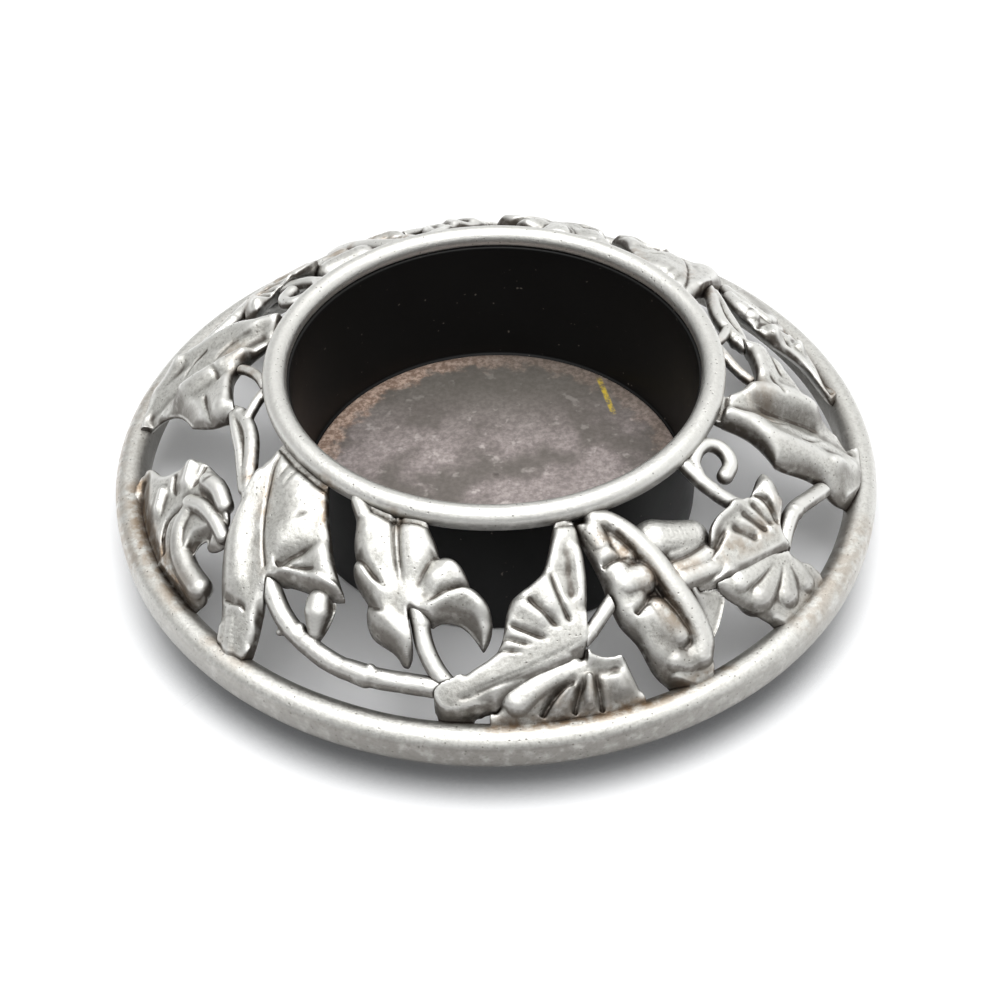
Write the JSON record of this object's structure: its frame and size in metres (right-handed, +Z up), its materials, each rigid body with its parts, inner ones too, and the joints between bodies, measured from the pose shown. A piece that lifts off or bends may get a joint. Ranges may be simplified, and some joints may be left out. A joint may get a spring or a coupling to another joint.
{
  "type": "candle ring",
  "caption": "Low openwork ring of vine leaves and trumpet flowers between a bead rim and a heavy base ring, which drops over a straight black cup that holds a tealight.",
  "frame": {"origin": "on the table, under the middle of the cup's bottom", "axes": "+Z up along the cup's axis; the front half of the foliage, with the flower right of the middle, faces -Y"},
  "size_m": [0.0776, 0.0776, 0.0173],
  "materials": {
    "pewter": "cast antiqued pewter, satin, with dark tarnish in the hollows",
    "black_lacquer": "satin black lacquer",
    "worn_disc": "dull, speckled grey-mauve with a coppery edge"
  },
  "bodies": {
    "cup": {"cup": "black_lacquer", "floor_disc": "worn_disc"},
    "ring": {"top_rim": "pewter", "base_ring": "pewter", "front_fold_leaf": "pewter", "front_short_tendril": "pewter", "front_broad_leaf": "pewter", "front_loop_tendril": "pewter", "front_curled_leaf": "pewter", "front_vine_stem": "pewter", "front_bud": "pewter", "front_lobed_leaf": "pewter", "front_leaf_stalk": "pewter", "front_wing_leaf_upper": "pewter", "front_wing_leaf_lower": "pewter", "front_flower_mouth": "pewter", "front_flower_stalk": "pewter", "front_fan_leaf_upper": "pewter", "front_fan_leaf_lower": "pewter", "front_flower_tube": "pewter", "front_curl_tendril": "pewter", "front_side_stem": "pewter", "back_fold_leaf": "pewter", "back_short_tendril": "pewter", "back_broad_leaf": "pewter", "back_loop_tendril": "pewter", "back_curled_leaf": "pewter", "back_vine_stem": "pewter", "back_bud": "pewter", "back_lobed_leaf": "pewter", "back_leaf_stalk": "pewter", "back_wing_leaf_upper": "pewter", "back_wing_leaf_lower": "pewter", "back_flower_mouth": "pewter", "back_flower_stalk": "pewter", "back_fan_leaf_upper": "pewter", "back_fan_leaf_lower": "pewter", "back_flower_tube": "pewter", "back_curl_tendril": "pewter", "back_side_stem": "pewter"}
  },
  "joints": [
    {"name": "ring_lift", "type": "slide", "parent": "cup", "child": "ring", "axis": [0, 0, 1], "range_m": [0, 0.02]}
  ]
}
